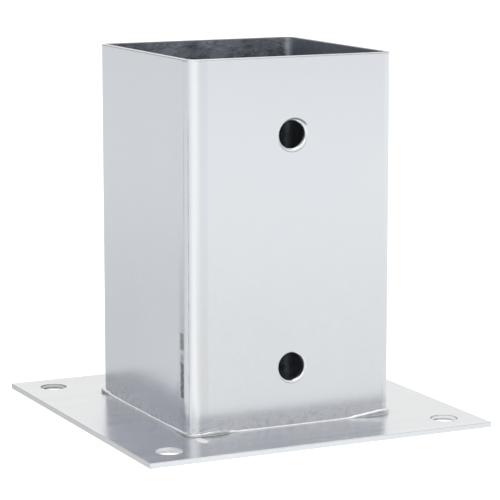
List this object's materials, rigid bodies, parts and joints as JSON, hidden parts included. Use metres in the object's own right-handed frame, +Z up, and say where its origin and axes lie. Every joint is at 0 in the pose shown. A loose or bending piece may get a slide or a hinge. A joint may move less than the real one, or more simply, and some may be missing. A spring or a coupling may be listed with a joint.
{
  "type": "post anchor",
  "caption": "Square open-topped sheet-steel sleeve welded upright on a flat base plate: it holds the foot of a post, bolts down through the plate and cross-bolts through the sleeve.",
  "frame": {"origin": "centre of the base plate's underside", "axes": "+Z up out of the sleeve's open top, -Y out of the front cross-bolted face, +X to the right seen from the front"},
  "size_m": [0.15, 0.15, 0.15],
  "materials": {
    "plate_zinc": "galvanised, faint rolling lines, satin",
    "sleeve_zinc": "galvanised, satin",
    "dressed_weld": "ground flush, scuffed near the foot",
    "foot_weld": "rippled weld bead, zinc coated"
  },
  "bodies": {
    "root": {"base_plate": "plate_zinc", "sleeve": "sleeve_zinc", "seam_weld": "dressed_weld", "weld_front": "foot_weld", "weld_right": "foot_weld", "weld_back": "foot_weld", "weld_left": "foot_weld", "weld_corner_front_left": "foot_weld", "weld_corner_front_right": "foot_weld", "weld_corner_back_right": "foot_weld", "weld_corner_back_left": "foot_weld"}
  },
  "joints": []
}
